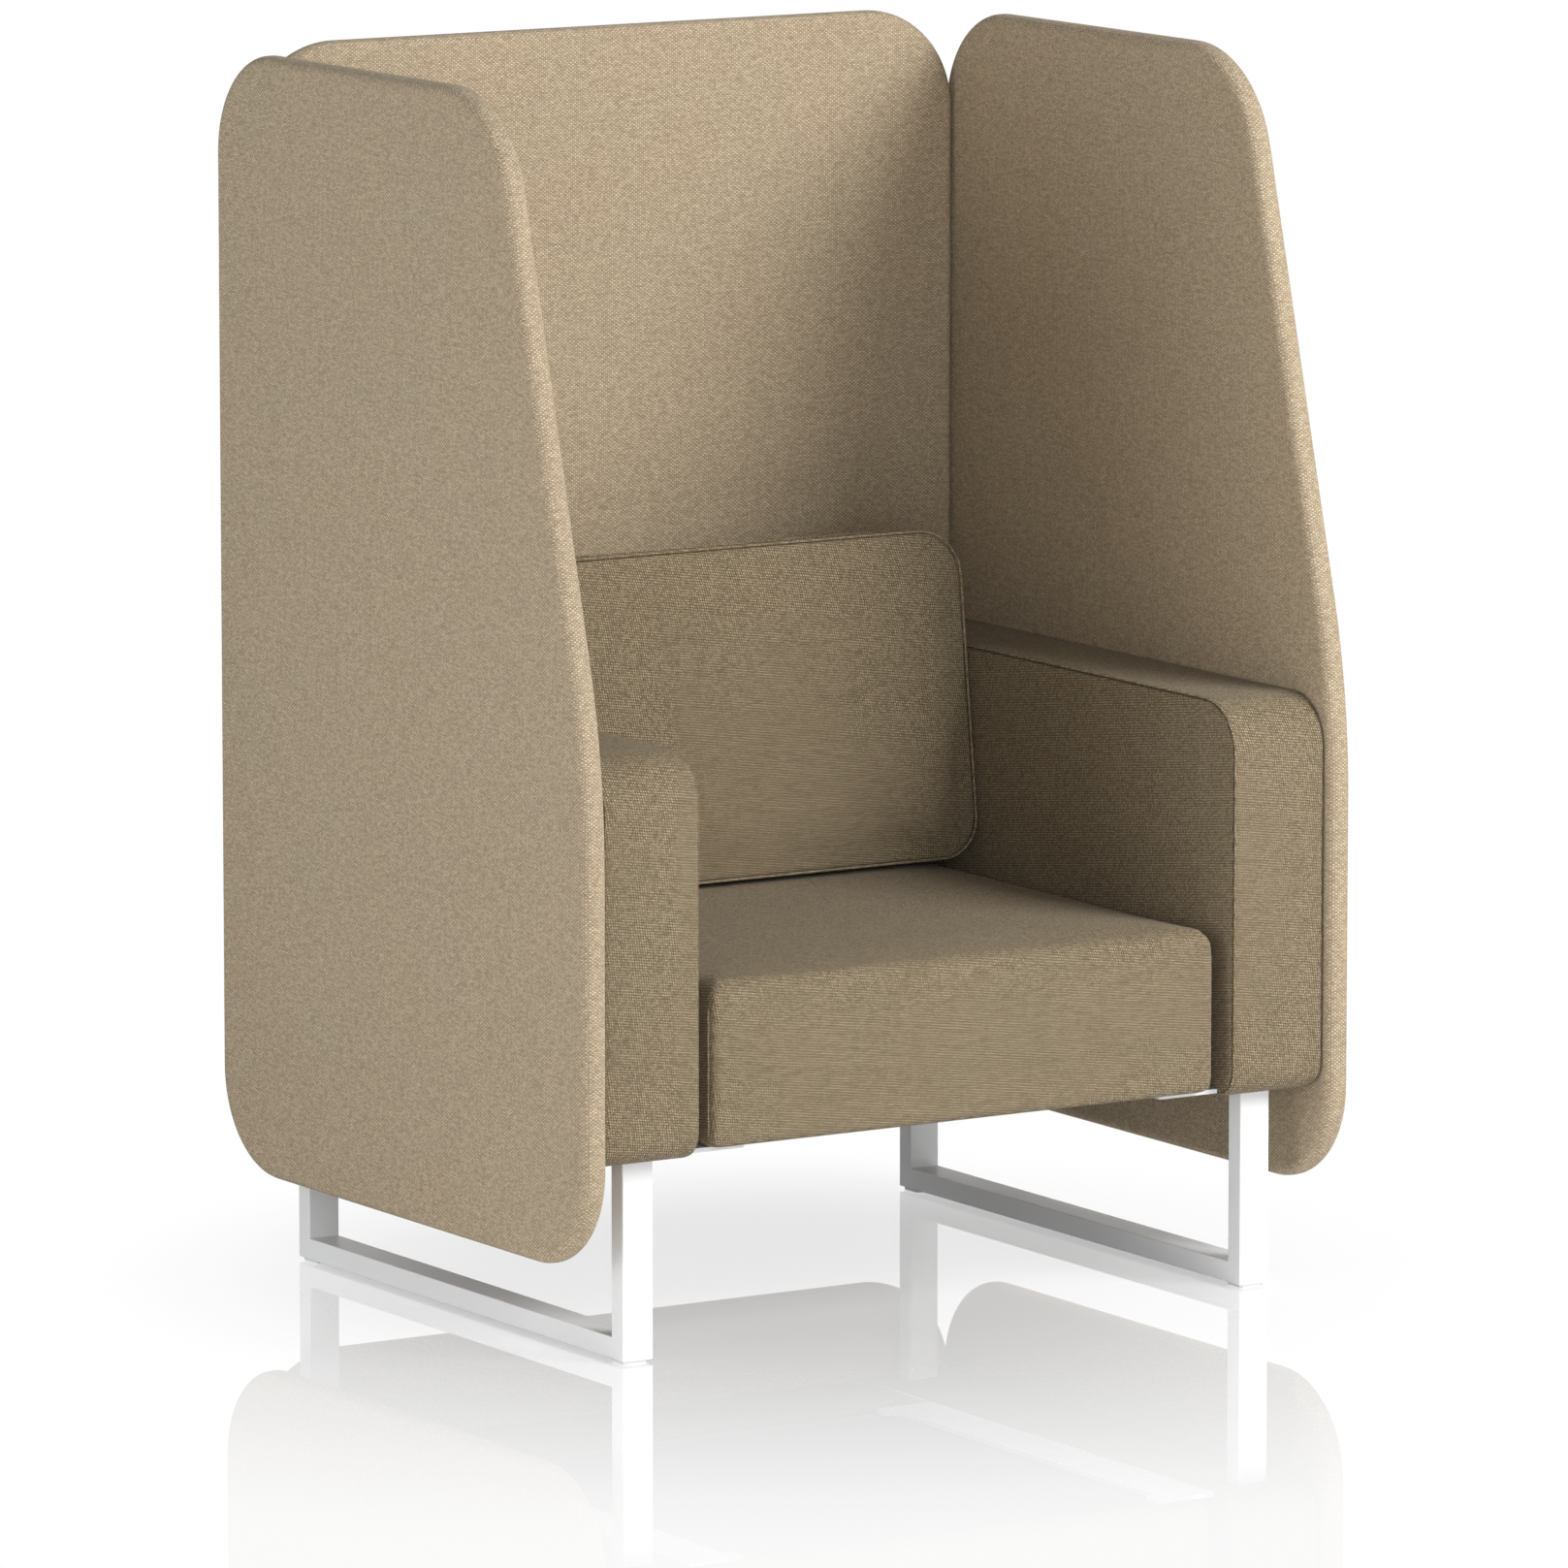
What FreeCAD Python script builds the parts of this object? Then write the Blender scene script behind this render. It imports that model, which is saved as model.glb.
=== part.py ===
import FreeCAD, Part
import math
import os
import re

import Sketcher
from FreeCAD import Placement, Rotation, Vector

# Privacy booth sofa: an armchair on two sled bases inside three upholstered screens.
# Frame: X across the chair, -Y the open front, Z up from the floor; the right side is at +X.
doc = FreeCAD.newDocument("privacy_booth_sofa")

# Driving sizes, in millimetres, with the two angles in degrees.
SIZES = {
    "overall_width": 1036,
    "overall_depth": 832,
    "screen_height": 1430,
    "screen_bottom": 115,
    "screen_thick": 30,
    "screen_brow_setback": 198,
    "screen_slant": 15,
    "screen_corner": 120,
    "screen_brow": 150,
    "screen_bend": 900,
    "screen_edge": 13,
    "screen_board": 12,
    "edge_roll": 10,
    "back_screen_gap": 7.5,
    "back_screen_lift": 3,
    "cover_thick": 2,
    "soft_gap": 0.2,
    "arm_width": 124.5,
    "arm_screen_gap": 2,
    "arm_setback": 12,
    "arm_bottom": 233,
    "arm_top": 696,
    "arm_brow": 62,
    "arm_toe": 33,
    "arm_edge": 12,
    "side_foam": 10,
    "front_foam": 16,
    "frame_board": 15,
    "frame_rail": 18,
    "block_wide": 60,
    "block_high": 200,
    "block_low": 380,
    "block_setback": 90,
    "back_block_spread": 480,
    "seat_setback": 17,
    "seat_arm_gap": 19,
    "seat_bottom": 241,
    "seat_top": 434,
    "seat_crown": 4,
    "seat_corner": 26,
    "seat_rim": 22,
    "seat_hem": 8,
    "seat_dome_reach": 150,
    "seat_turn_in": 40,
    "seat_side_foam": 15,
    "seat_rail_high": 67,
    "seat_rail_thick": 20,
    "cross_rail_high": 45,
    "web_wide": 50,
    "web_thick": 3,
    "dust_thick": 1,
    "back_thick": 124,
    "back_seat_gap": 2,
    "cushion_side_gap": 5.5,
    "cushion_height": 393,
    "cushion_thick": 100,
    "cushion_lean": 7,
    "cushion_crown": 8,
    "cushion_swell": 4.5,
    "cushion_swell_reach": 150,
    "cushion_back_crown": 6,
    "cushion_draw": 58,
    "cushion_bulge": 2,
    "cushion_top_corner": 58,
    "cushion_foot_corner": 50,
    "zip_long": 420,
    "zip_wide": 6,
    "sled_offset": 4.25,
    "sled_front_setback": 52.5,
    "sled_rear_setback": 45,
    "tube_wide": 40,
    "tube_deep": 25,
    "tube_wall": 2,
    "tube_round": 1.5,
    "spigot_long": 30,
    "glide_wide": 32,
    "glide_long": 30,
    "glide_thick": 4,
    "glide_inset": 3,
    "glide_bevel": 3,
    "angle_thick": 5,
    "angle_rise": 64,
    "angle_front_setback": 45,
    "angle_rear_setback": 18,
    "flange_setback": 36,
    "ledge_wide": 66.5,
    "ledge_rear_setback": 19,
    "tab_reach": 14,
    "tab_long": 26,
    "tab_round": 6,
    "tab_hollow": 10,
}

# Lines and faces that several pieces share, each worked out from the sizes above it.
LINES = {
    "half_width": "overall_width / 2",
    "half_depth": "overall_depth / 2",
    "screen_in": "half_width - screen_thick",
    "back_screen_front": "half_depth - screen_thick",
    "back_screen_side": "screen_in - back_screen_gap",
    "screen_brow_line": "screen_brow_setback - half_depth",
    "bend_height": "screen_height - screen_brow_setback / tan(screen_slant)",
    "arm_out": "screen_in - arm_screen_gap",
    "arm_in": "arm_out - arm_width",
    "arm_front": "arm_setback - half_depth",
    "arm_rear": "back_screen_front - arm_screen_gap",
    "arm_board_in": "arm_in + cover_thick + side_foam",
    "arm_board_out": "arm_out - cover_thick - side_foam",
    "carcass_front": "arm_front + cover_thick + front_foam",
    "carcass_rear": "arm_rear - cover_thick",
    "carcass_low": "arm_bottom + cover_thick",
    "carcass_top": "arm_top - cover_thick - front_foam",
    "back_side": "arm_in - angle_thick",
    "back_front": "arm_rear - back_thick",
    "back_board_side": "back_side - cover_thick - side_foam",
    "back_board_front": "back_front + cover_thick + side_foam",
    "back_board_rear": "arm_rear - cover_thick - side_foam",
    "seat_side": "arm_in - seat_arm_gap",
    "seat_front": "seat_setback - half_depth",
    "seat_rear": "back_front - back_seat_gap",
    "seat_mid": "(seat_front + seat_rear) / 2",
    "frame_side": "seat_side - cover_thick - seat_side_foam",
    "frame_front": "seat_front + cover_thick + seat_side_foam",
    "frame_rear": "seat_rear - cover_thick - seat_side_foam",
    "frame_low": "seat_bottom + cover_thick",
    "frame_top": "frame_low + seat_rail_high",
    "sled_front": "sled_front_setback - half_depth",
    "sled_rear": "half_depth - sled_rear_setback",
    "sled_mid": "(arm_in + arm_out) / 2 - sled_offset",
    "sled_in": "sled_mid - tube_wide / 2",
    "angle_front": "angle_front_setback - half_depth",
    "angle_rear": "arm_rear - angle_rear_setback",
    "ledge_rear": "seat_rear - ledge_rear_setback",
    "ledge_low": "seat_bottom - angle_thick",
    "ledge_in": "arm_in - ledge_wide",
    "tab_in": "ledge_in - tab_reach",
}
WEB_COUNT = 7
RIM_TURNS = (0, 30, 60, 90)
CUSHION_TURNS = (72, 45, 20)

sheet = doc.addObject("Spreadsheet::Sheet", "Sizes")
cells = list(SIZES.items()) + [(alias, "=" + text) for alias, text in LINES.items()]
for row, (alias, value) in enumerate(cells, 1):
    sheet.set("A%d" % row, alias)
    sheet.set("B%d" % row, str(value))
    sheet.setAlias("B%d" % row, alias)
doc.recompute()

nodes = {}


def size(alias):
    return float(sheet.get(alias))


def bind(item, prop, text):
    """Tie a property to a formula over the sheet's names."""
    words = re.split(r"(\w+)", text)
    named = ["Sizes." + word if word in SIZES or word in LINES else word for word in words]
    item.setExpression(prop, "".join(named))


def keep(label, item):
    item.Label = label
    nodes[label] = item


def block(name, x, y, z):
    """A plain box between two formulas along each axis."""
    box = doc.addObject("Part::Box", name)
    for prop, axis, (low, high) in zip(("Length", "Width", "Height"), "xyz", (x, y, z)):
        bind(box, prop, "(%s) - (%s)" % (high, low))
        bind(box, "Placement.Base." + axis, low)
    return box


def group(name, items):
    bundle = doc.addObject("Part::Compound", name)
    bundle.Links = list(items)
    return bundle


def cut(name, base, *tools):
    """Base less one tool after another."""
    for number, tool in enumerate(tools):
        result = doc.addObject("Part::Cut", "%s_%d" % (name, number))
        result.Base = base
        result.Tool = tool
        base = result
    return base


def join(kind, name, base, tool):
    result = doc.addObject(kind, name)
    result.Base = base
    result.Tool = tool
    return result


def mirrored(name, source):
    twin = doc.addObject("Part::Mirroring", name)
    twin.Source = source
    twin.Normal = Vector(1, 0, 0)
    return twin


def both_sides(piece, right):
    """The right-hand piece and its mirror image, each a node of its own."""
    keep("right_" + piece, right)
    keep("left_" + piece, mirrored("left_" + piece, right))


def pair(name, items):
    """Right-hand pieces and their mirror images as one group."""
    right = group(name + "_right", items)
    return group(name, [right, mirrored(name + "_left", right)])


def plate(name, plane, corners, length, **base):
    """A body padded from a closed outline, whose corners are formulas in the sketch's two axes."""
    body = doc.addObject("PartDesign::Body", name)
    sketch = body.newObject("Sketcher::SketchObject", name + "_outline")
    support = next(item for item in body.Origin.OriginFeatures if item.Role == plane)
    sketch.AttachmentSupport = (support, [""])
    sketch.MapMode = "FlatFace"
    count = len(corners)
    turns = [2 * math.pi * number / count for number in range(count)]
    ring = [Vector(math.cos(turn), math.sin(turn), 0) * 100 for turn in turns]
    for number in range(count):
        sketch.addGeometry(Part.LineSegment(ring[number], ring[(number + 1) % count]))
    for number in range(count):
        sketch.addConstraint(Sketcher.Constraint("Coincident", number, 2, (number + 1) % count, 1))
    for number, corner in enumerate(corners):
        for kind, start, text in zip(("DistanceX", "DistanceY"), ring[number], corner):
            index = sketch.addConstraint(Sketcher.Constraint(kind, -1, 1, number, 1, start))
            bind(sketch, "Constraints[%d]" % index, text)
    pad = body.newObject("PartDesign::Pad", name + "_pad")
    pad.Profile = sketch
    bind(pad, "Length", length)
    for axis, text in base.items():
        bind(body, "Placement.Base." + axis, text)
    return body


def dress(body, kind, prop, amount, chosen):
    """Round or bevel the edges of the body's last feature that a test on edge and bounding box picks."""
    doc.recompute()
    last = body.Tip
    box = last.Shape.BoundBox
    names = ["Edge%d" % number for number, edge in enumerate(last.Shape.Edges, 1) if chosen(edge, box)]
    feature = body.newObject("PartDesign::" + kind, body.Name + "_" + kind.lower())
    feature.Base = (last, names)
    bind(feature, prop, amount)


def round_edges(body, radius, chosen):
    dress(body, "Fillet", "Radius", radius, chosen)


def near(first, second):
    return abs(first - second) < 0.01


def along(edge, axis):
    """True for a straight edge parallel to an axis given as 0, 1 or 2."""
    box = edge.BoundBox
    spans = (box.XLength, box.YLength, box.ZLength)
    return all(near(span, 0) for number, span in enumerate(spans) if number != axis)


def front_top(edge, box):
    return along(edge, 0) and near(edge.BoundBox.YMin, box.YMin) and near(edge.BoundBox.ZMin, box.ZMax)


def front_foot(edge, box):
    return along(edge, 0) and near(edge.BoundBox.YMin, box.YMin) and near(edge.BoundBox.ZMin, box.ZMin)


def inset_corners(outline, inset):
    """Each corner of a closed outline moved in by inset, its two side directions and its half angle."""
    points = [Vector(u, v, 0) for u, v, radius in outline]
    corners = []
    for number, point in enumerate(points):
        back = (points[number - 1] - point).normalize()
        ahead = (points[(number + 1) % len(points)] - point).normalize()
        half = back.getAngle(ahead) / 2
        inward = (back + ahead).normalize()
        corners.append((point + inward * (inset / math.sin(half)), back, ahead, half))
    return corners


def inset_ring(outline, depth, inset, lift):
    """A closed wire of straight sides and round corners, lifted to its depth."""
    arcs = []
    for (corner, back, ahead, half), (u, v, radius) in zip(inset_corners(outline, inset), outline):
        bend = max(radius - inset, radius / 8)
        inward = (back + ahead).normalize()
        middle = corner + inward * (bend / math.sin(half) - bend)
        reach = bend / math.tan(half)
        spots = (corner + back * reach, middle, corner + ahead * reach)
        arcs.append([lift(spot.x, spot.y, depth) for spot in spots])
    edges = []
    for number, (first, middle, last) in enumerate(arcs):
        if outline[number][2]:
            edges.append(Part.Arc(first, middle, last).toShape())
        edges.append(Part.makeLine(last, arcs[(number + 1) % len(arcs)][0]))
    return Part.Wire(edges)


def padded(name, outline, stations, lift, place=Placement()):
    """A soft form lofted through insets of one outline, each station a depth and how far it is drawn in."""
    form = doc.addObject("Part::Feature", name)
    form.Shape = Part.makeLoft([inset_ring(outline, *station, lift) for station in stations], True, True)
    form.Placement = place
    return form


def swollen(name, outline, stations, rise, reach, lift, place=Placement()):
    """A padded form with a low hipped swell on its last face."""
    top, clear = stations[-1][0], max(radius for u, v, radius in outline)
    low, high = ([lift(corner[0].x, corner[0].y, depth) for corner in inset_corners(outline, inset)]
                 for depth, inset in ((top, clear), (top + rise, reach)))
    loops = [low, high]
    for number, corner in enumerate(low):
        following = (number + 1) % len(low)
        loops.append([corner, low[following], high[following], high[number]])
    swell = doc.addObject("Part::Feature", name + "_swell")
    swell.Shape = Part.Solid(Part.Shell([Part.Face(Part.makePolygon(loop + loop[:1])) for loop in loops]))
    swell.Placement = place
    return join("Part::Fuse", name, padded(name + "_pad", outline, stations, lift, place), swell)


def rim_points(edge, turns):
    """Depth and inset along a quarter round from the side of a form to its face."""
    angles = [math.radians(turn) for turn in turns]
    return [(edge * (1 - math.sin(angle)), edge * (1 - math.cos(angle))) for angle in angles]


def rolled_edges(low, high, edge):
    """Stations from one face to the other with a rounded rim at both."""
    rim = rim_points(edge, RIM_TURNS)
    lower = [(low + depth, inset) for depth, inset in reversed(rim)]
    return lower + [(high - depth, inset) for depth, inset in rim]


def bevelled_edges(low, high, bevel, inset):
    return [(low, inset + bevel), (low + bevel, inset), (high - bevel, inset), (high, inset + bevel)]


def side_lift(u, v, depth):
    return Vector(depth, u, v)


def back_lift(u, v, depth):
    return Vector(u, depth, v)


# Side screen layers: upright rear edge, short level top, front edge that slopes out and bends upright.
def side_sheet(name, inset, low_x, thick):
    tilt = "%s / cos(screen_slant)" % inset
    rear, front = "half_depth - %s" % inset, "%s - half_depth" % inset
    low, high = "screen_bottom + %s" % inset, "screen_height - %s" % inset
    brow = "screen_brow_line + %s - %s * tan(screen_slant)" % (tilt, inset)
    front_slope = "screen_brow_setback + %s - %s" % (tilt, inset)
    bend = "screen_height - (%s) / tan(screen_slant)" % front_slope
    corners = [(rear, low), (rear, high), (brow, high), (front, bend), (front, low)]
    body = plate(name, "YZ_Plane", corners, thick, x=low_x)
    round_edges(body, "screen_bend - %s" % inset, lambda edge, box: along(edge, 0)
                and near(edge.BoundBox.YMin, box.YMin) and edge.BoundBox.ZMin > box.ZMin + 1)
    round_edges(body, "screen_brow - %s" % inset, lambda edge, box: along(edge, 0)
                and near(edge.BoundBox.ZMin, box.ZMax) and edge.BoundBox.YMax < box.YMax - 1)
    round_edges(body, "screen_corner - %s" % inset, lambda edge, box: along(edge, 0)
                and (near(edge.BoundBox.YMax, box.YMax) or near(edge.BoundBox.ZMin, box.ZMin)))
    return body


# Back screen layers: an upright rounded rectangle between the side screens.
def back_sheet(name, inset, low_y, thick):
    side = "back_screen_side - %s" % inset
    low = "screen_bottom + back_screen_lift + %s" % inset
    high = "screen_height + back_screen_lift - %s" % inset
    corners = [("-(%s)" % side, low), (side, low), (side, high), ("-(%s)" % side, high)]
    body = plate(name, "XZ_Plane", corners, thick, y="%s + %s" % (low_y, thick))
    round_edges(body, "screen_corner - %s" % inset, lambda edge, box: along(edge, 1))
    return body


# Screen build-up: board between two foam sheets, in a cover whose rim is filled by an edge roll.
def screen_layers(sheet_form, tag, outline, lift, inner, blocks):
    foam = "((screen_thick - screen_board) / 2 - cover_thick)"
    face = "(%s + cover_thick)" % inner
    rims = rolled_edges(size(inner), size(inner) + size("screen_thick"), size("screen_edge"))
    skin = padded(tag + "_skin", outline, rims, lift)
    board_face = "%s + %s" % (face, foam)
    filling = sheet_form(tag + "_filling", "edge_roll", face, "screen_thick - 2 * cover_thick")
    inner_sheet = sheet_form(tag + "_inner_sheet", "edge_roll", face, foam)
    return {
        "core": sheet_form(tag + "_core_board", "edge_roll", board_face, "screen_board"),
        "inner_foam": cut(tag + "_inner_foam", inner_sheet, blocks),
        "outer_foam": sheet_form(tag + "_outer_sheet", "edge_roll", board_face + " + screen_board", foam),
        "cover": cut(tag + "_cover", skin, filling, blocks),
    }


# Mounting blocks: timber packers from the chair's frame boards through the padding to each screen's board.
def packer(name, axis, low, high, across):
    upright = ("block_low", "block_low + block_high")
    wide = ("(%s) - block_wide / 2" % across, "(%s) + block_wide / 2" % across)
    return block(name, *(((low, high), wide, upright) if axis == "x" else (wide, (low, high), upright)))


core_depth = " + (screen_thick - screen_board) / 2"
side_blocks = group("side_blocks", [
    packer("side_block_" + spot, "x", "arm_board_out", "screen_in" + core_depth, across)
    for spot, across in (("front", "arm_front + block_setback"), ("rear", "arm_rear - block_setback"))])
back_screen_blocks = pair("back_screen_blocks", [packer(
    "back_screen_block", "y", "back_board_rear", "back_screen_front" + core_depth, "back_block_spread / 2")])
back_blocks = packer("back_block", "x", "back_board_side", "arm_board_in", "back_front + back_thick / 2")
left_side_blocks = mirrored("side_blocks_left", side_blocks)
keep("screen_blocks", group("screen_blocks", [side_blocks, left_side_blocks, back_screen_blocks]))
keep("back_blocks", group("back_blocks", [back_blocks, mirrored("back_block_left", back_blocks)]))

side_outline = [
    (size("half_depth"), size("screen_bottom"), size("screen_corner")),
    (size("half_depth"), size("screen_height"), size("screen_corner")),
    (size("screen_brow_line"), size("screen_height"), size("screen_brow")),
    (-size("half_depth"), size("bend_height"), size("screen_bend")),
    (-size("half_depth"), size("screen_bottom"), size("screen_corner")),
]
back_low = size("screen_bottom") + size("back_screen_lift")
back_high = size("screen_height") + size("back_screen_lift")
back_outline = [(u * size("back_screen_side"), v, size("screen_corner"))
                for u, v in ((-1, back_low), (1, back_low), (1, back_high), (-1, back_high))]
side_layers = screen_layers(side_sheet, "side_screen", side_outline, side_lift, "screen_in", side_blocks)
back_layers = screen_layers(back_sheet, "back_screen", back_outline, back_lift, "back_screen_front",
                            back_screen_blocks)
for layer in side_layers:
    both_sides("screen_" + layer, side_layers[layer])
    keep("back_screen_" + layer, back_layers[layer])


# Sled base: a U of rectangular tube, mitred at its two lower corners, open at the leg tops.
def sled_outline(skin, top):
    front, rear = "sled_front + " + skin, "sled_rear - " + skin
    low, high = "glide_thick + " + skin, "glide_thick + tube_deep - " + skin
    front_in, rear_in = "sled_front + tube_deep - " + skin, "sled_rear - tube_deep + " + skin
    return [(front, top), (front, low), (rear, low), (rear, top),
            (rear_in, top), (rear_in, high), (front_in, high), (front_in, top)]


sled_tube = plate("sled_tube", "YZ_Plane", sled_outline("0", "arm_bottom"), "tube_wide", x="sled_in")
round_edges(sled_tube, "tube_round", lambda edge, box: near(edge.BoundBox.XLength, 0)
            and edge.BoundBox.ZMin < box.ZMax - 1)
sled_hollow = plate("sled_hollow", "YZ_Plane", sled_outline("tube_wall", "arm_bottom + tube_wall"),
                    "tube_wide - 2 * tube_wall", x="sled_in + tube_wall")
both_sides("sled_frame", cut("sled_frame", sled_tube, sled_hollow))

# At each leg: a glide pad under the rail and a spigot from the tube up through the arm's bottom rail.
spigots = []
glide_x = ("sled_mid - glide_wide / 2", "sled_mid + glide_wide / 2")
for spot, leg_front, glide_front in (
        ("front", "sled_front", "sled_front + glide_inset"),
        ("rear", "(sled_rear - tube_deep)", "sled_rear - glide_inset - glide_long")):
    glide_rear = glide_front + " + glide_long"
    pad_corners = [(glide_x[0], glide_front), (glide_x[1], glide_front),
                   (glide_x[1], glide_rear), (glide_x[0], glide_rear)]
    glide = plate(spot + "_glide_pad", "XY_Plane", pad_corners, "glide_thick")
    dress(glide, "Chamfer", "Size", "glide_bevel", lambda edge, box: along(edge, 2))
    both_sides(spot + "_glide", glide)
    spigots.append(block(spot + "_spigot", ("sled_in + tube_wall", "sled_in + tube_wide - tube_wall"),
                         (leg_front + " + tube_wall", leg_front + " + tube_deep - tube_wall"),
                         ("arm_bottom - spigot_long", "carcass_low + frame_rail")))
spigot_set = group("spigot_set", spigots)
keep("leg_spigots", group("leg_spigots", [spigot_set, mirrored("spigot_set_left", spigot_set)]))

# Seat angle: a steel ledge under the seat with a wider tab at each end, and an upright flange on the arm.
tab_rear, tab_front = "ledge_rear - tab_long", "angle_front + tab_long"
ledge = plate("ledge", "XY_Plane", [
    ("arm_in", "angle_front"), ("arm_in", "ledge_rear"), ("tab_in", "ledge_rear"), ("tab_in", tab_rear),
    ("ledge_in", tab_rear), ("ledge_in", tab_front), ("tab_in", tab_front), ("tab_in", "angle_front")],
    "angle_thick", z="ledge_low")
round_edges(ledge, "tab_round", lambda edge, box: along(edge, 2) and near(edge.BoundBox.XMin, box.XMin))
round_edges(ledge, "tab_hollow", lambda edge, box: along(edge, 2)
            and near(edge.BoundBox.XMin, box.XMin + size("tab_reach")))
flange = block("flange", ("back_side", "arm_in"), ("angle_front + flange_setback", "angle_rear"),
               ("ledge_low", "ledge_low + angle_rise"))
both_sides("seat_angle", join("Part::Fuse", "seat_angle", ledge, flange))


# Arm: a plywood box under foam and a tailored cover, round at its two front corners.
def arm_panel(name, low_x, thick):
    corners = [("carcass_front", "carcass_low"), ("carcass_rear", "carcass_low"),
               ("carcass_rear", "carcass_top"), ("carcass_front", "carcass_top")]
    body = plate(name, "YZ_Plane", corners, thick, x=low_x)
    round_edges(body, "arm_brow - cover_thick - front_foam", front_top)
    round_edges(body, "arm_toe", front_foot)
    return body


arm_outline = [
    (size("arm_front"), size("arm_bottom"), size("arm_toe")),
    (size("arm_rear"), size("arm_bottom"), 0),
    (size("arm_rear"), size("arm_top"), 0),
    (size("arm_front"), size("arm_top"), size("arm_brow")),
]
cover, arm_edge = size("cover_thick"), size("arm_edge")
arm_rims = rolled_edges(size("arm_in"), size("arm_out"), arm_edge)
arm_bevels = bevelled_edges(size("arm_in") + cover, size("arm_out") - cover, arm_edge - 2 * cover, cover)
arm_skin = padded("arm_skin", arm_outline, arm_rims, side_lift)
arm_filling = padded("arm_filling", arm_outline, arm_bevels, side_lift)
arm_carcass = arm_panel("arm_carcass", "arm_board_in", "arm_board_out - arm_board_in")
rail_x = ("arm_board_in + frame_board", "arm_board_out - frame_board")
deep, post = ("carcass_front", "carcass_rear"), ("carcass_low + frame_rail", "carcass_top - frame_rail")
rail_zone = {
    "bottom": (deep, ("carcass_low", "carcass_low + frame_rail")),
    "top": (deep, ("carcass_top - frame_rail", "carcass_top")),
    "front": (("carcass_front", "carcass_front + frame_board"), post),
    "rear": (("carcass_rear - frame_board", "carcass_rear"), post),
}
arm_rails = group("arm_rail_set", [
    join("Part::Common", "arm_%s_rail" % spot, block("arm_%s_bar" % spot, rail_x, *zone), arm_carcass)
    for spot, zone in rail_zone.items()])
both_sides("arm_inner_board", arm_panel("arm_inner_panel", "arm_board_in", "frame_board"))
both_sides("arm_outer_board", arm_panel("arm_outer_panel", "arm_board_out - frame_board", "frame_board"))
both_sides("arm_rails", cut("arm_rails", arm_rails, spigot_set))
both_sides("arm_foam", cut("arm_foam", arm_filling, arm_carcass, spigot_set, side_blocks, back_blocks))
both_sides("arm_cover", cut("arm_cover", arm_skin, arm_filling, spigot_set, side_blocks, back_blocks))

# Chair back: a padded box between the arms, behind the loose cushion.
chair_back_outline = [(u * size("back_side"), size(v), 0)
                      for u, v in ((-1, "arm_bottom"), (1, "arm_bottom"), (1, "arm_top"), (-1, "arm_top"))]
back_rims = rolled_edges(size("back_front"), size("arm_rear"), arm_edge)
back_bevels = bevelled_edges(size("back_front") + cover, size("arm_rear") - cover,
                             arm_edge - 2 * cover, cover)
back_skin = padded("back_skin", chair_back_outline, back_rims, back_lift)
back_filling = padded("back_filling", chair_back_outline, back_bevels, back_lift)
wide, tall = ("-back_board_side", "back_board_side"), ("carcass_low", "carcass_top")
rail_y = ("back_board_front + frame_board", "back_board_rear - frame_board")
back_carcass = block("back_carcass", wide, ("back_board_front", "back_board_rear"), tall)
keep("back_front_board", block("back_front_board", wide, ("back_board_front", rail_y[0]), tall))
keep("back_rear_board", block("back_rear_board", wide, (rail_y[1], "back_board_rear"), tall))
back_post = block("back_post", ("back_board_side - frame_rail", "back_board_side"), rail_y, post)
keep("back_rails", group("back_rails", [
    block("back_bottom_rail", wide, rail_y, ("carcass_low", post[0])),
    block("back_top_rail", wide, rail_y, (post[1], "carcass_top")),
    pair("back_posts", [back_post])]))
both_back_blocks = nodes["back_blocks"]
keep("back_foam", cut("back_foam", back_filling, back_carcass, both_back_blocks, back_screen_blocks))
keep("back_cover", cut("back_cover", back_skin, back_filling, both_back_blocks, back_screen_blocks))

# Seat: timber rails, webbing, a crowned foam block that wraps the rails, and a boxed cover.
seat_outline = [(u * size("seat_side"), size(v), size("seat_corner"))
                for u, v in ((-1, "seat_front"), (1, "seat_front"), (1, "seat_rear"), (-1, "seat_rear"))]
seat_low, seat_top, rim, hem = size("seat_bottom"), size("seat_top"), size("seat_rim"), size("seat_hem")
seat_crown, seat_reach = size("seat_crown"), size("seat_dome_reach")
seat_stations = [(seat_low, hem), (seat_low + hem, 0)]
seat_stations += [(seat_top - depth, inset) for depth, inset in rim_points(rim, RIM_TURNS)]
filling_stations = [
    (seat_low + cover, hem + cover), (seat_low + hem + cover, cover),
    (seat_top - rim - cover, cover), (seat_top - rim / 4 - cover, rim / 4 + cover), (seat_top - cover, rim)]


def seat_lift(u, v, depth):
    return Vector(u, v, depth)


seat_skin = swollen("seat_skin", seat_outline, seat_stations, seat_crown, seat_reach, seat_lift)
seat_filling = swollen("seat_filling", seat_outline, filling_stations, seat_crown, seat_reach, seat_lift)
rail_high = ("frame_low", "frame_top")
across, lengthways = ("-frame_side", "frame_side"), ("frame_front", "frame_rear")
between_y = ("frame_front + seat_rail_thick", "frame_rear - seat_rail_thick")
inner_side = "(frame_side - seat_rail_thick)"
keep("seat_front_rail", block("seat_front_rail", across, ("frame_front", between_y[0]), rail_high))
keep("seat_rear_rail", block("seat_rear_rail", across, (between_y[1], "frame_rear"), rail_high))
side_rail = block("seat_side_rail", (inner_side, "frame_side"), between_y, rail_high)
keep("seat_side_rails", pair("seat_side_rails", [side_rail]))
keep("seat_cross_rail", block("seat_cross_rail", ("-" + inner_side, inner_side),
                              ("seat_mid - seat_rail_thick / 2", "seat_mid + seat_rail_thick / 2"),
                              ("frame_low", "frame_low + cross_rail_high")))
webs = []
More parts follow.
